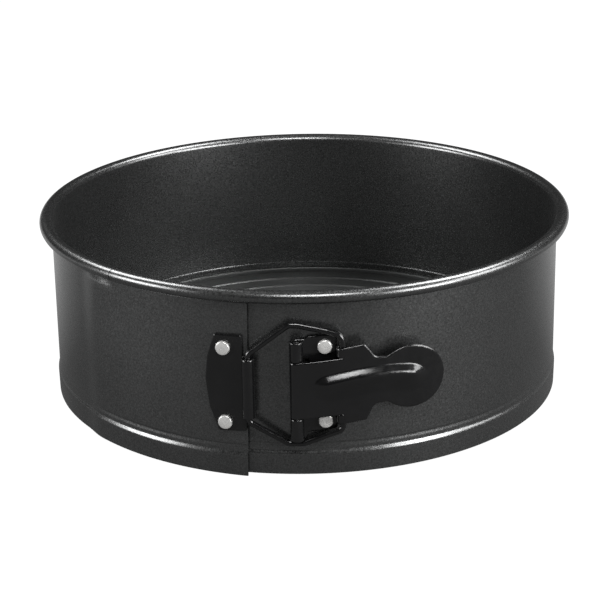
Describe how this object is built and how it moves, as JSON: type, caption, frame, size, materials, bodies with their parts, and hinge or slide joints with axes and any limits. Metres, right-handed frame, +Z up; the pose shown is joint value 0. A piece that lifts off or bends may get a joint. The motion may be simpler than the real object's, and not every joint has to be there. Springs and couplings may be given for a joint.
{
  "type": "springform pan",
  "caption": "Round springform cake pan: a sprung steel band with a rolled rim, pulled shut by an over-centre lever clasp round a loose base plate.",
  "frame": {"origin": "on the pan's axis, at the height of the table it stands on", "axes": "+Z up along the pan's axis, -Y towards the clasp at the front, +X towards the lever's finger tab"},
  "size_m": [0.2104, 0.2129, 0.0727],
  "materials": {
    "band_coating": "dark grey non-stick coating with a fine sparkle, satin",
    "base_coating": "dark grey non-stick coating, satin",
    "clasp_black": "smooth satin black coating on pressed steel and wire",
    "rivet_steel": "bright plain steel"
  },
  "bodies": {
    "base": {"base_plate": "base_coating"},
    "ring": {"band_front": "band_coating", "hinge_bracket": "clasp_black", "hinge_pin": "clasp_black", "bracket_rivet_upper": "rivet_steel", "bracket_rivet_lower": "rivet_steel"},
    "arc_right": {"band_right": "band_coating"},
    "arc_left": {"band_left": "band_coating"},
    "free_end": {"band_free_end": "band_coating", "catch_plate": "clasp_black", "catch_rivet_upper": "rivet_steel", "catch_rivet_lower": "rivet_steel", "bail_leg": "clasp_black"},
    "lever": {"lever": "clasp_black"},
    "bail": {"bail": "clasp_black"}
  },
  "joints": [
    {"name": "ring_lift", "type": "slide", "parent": "base", "child": "ring", "axis": [0, 0, 1], "range_m": [0, 0.085]},
    {"name": "lever_swing", "type": "hinge", "parent": "ring", "child": "lever", "pos_m": [-0.00371, -0.10373, 0.0355], "axis": [0, 0, -1], "range_deg": [0, 110]},
    {"name": "bail_swing", "type": "hinge", "parent": "lever", "child": "bail", "pos_m": [0.0128, -0.10331, 0.0371], "axis": [0, 0, 1], "range_deg": [0, 73.8]},
    {"name": "flex_right", "type": "hinge", "parent": "ring", "child": "arc_right", "pos_m": [0.09128, -0.0527, 0.0359], "axis": [0, 0, -1], "range_deg": [0, 2.75]},
    {"name": "flex_back", "type": "hinge", "parent": "arc_right", "child": "arc_left", "pos_m": [0, 0.1054, 0.0359], "axis": [0, 0, -1], "range_deg": [0, 2.75]},
    {"name": "flex_left", "type": "hinge", "parent": "arc_left", "child": "free_end", "pos_m": [-0.09128, -0.0527, 0.0359], "axis": [0, 0, -1], "range_deg": [0, 2.75]}
  ],
  "couplings": [
    {"joint": "bail_swing", "follows": "lever_swing", "ratio": 0.66613},
    {"joint": "flex_right", "follows": "lever_swing", "ratio": 0.024301},
    {"joint": "flex_back", "follows": "lever_swing", "ratio": 0.024301},
    {"joint": "flex_left", "follows": "lever_swing", "ratio": 0.024301}
  ]
}
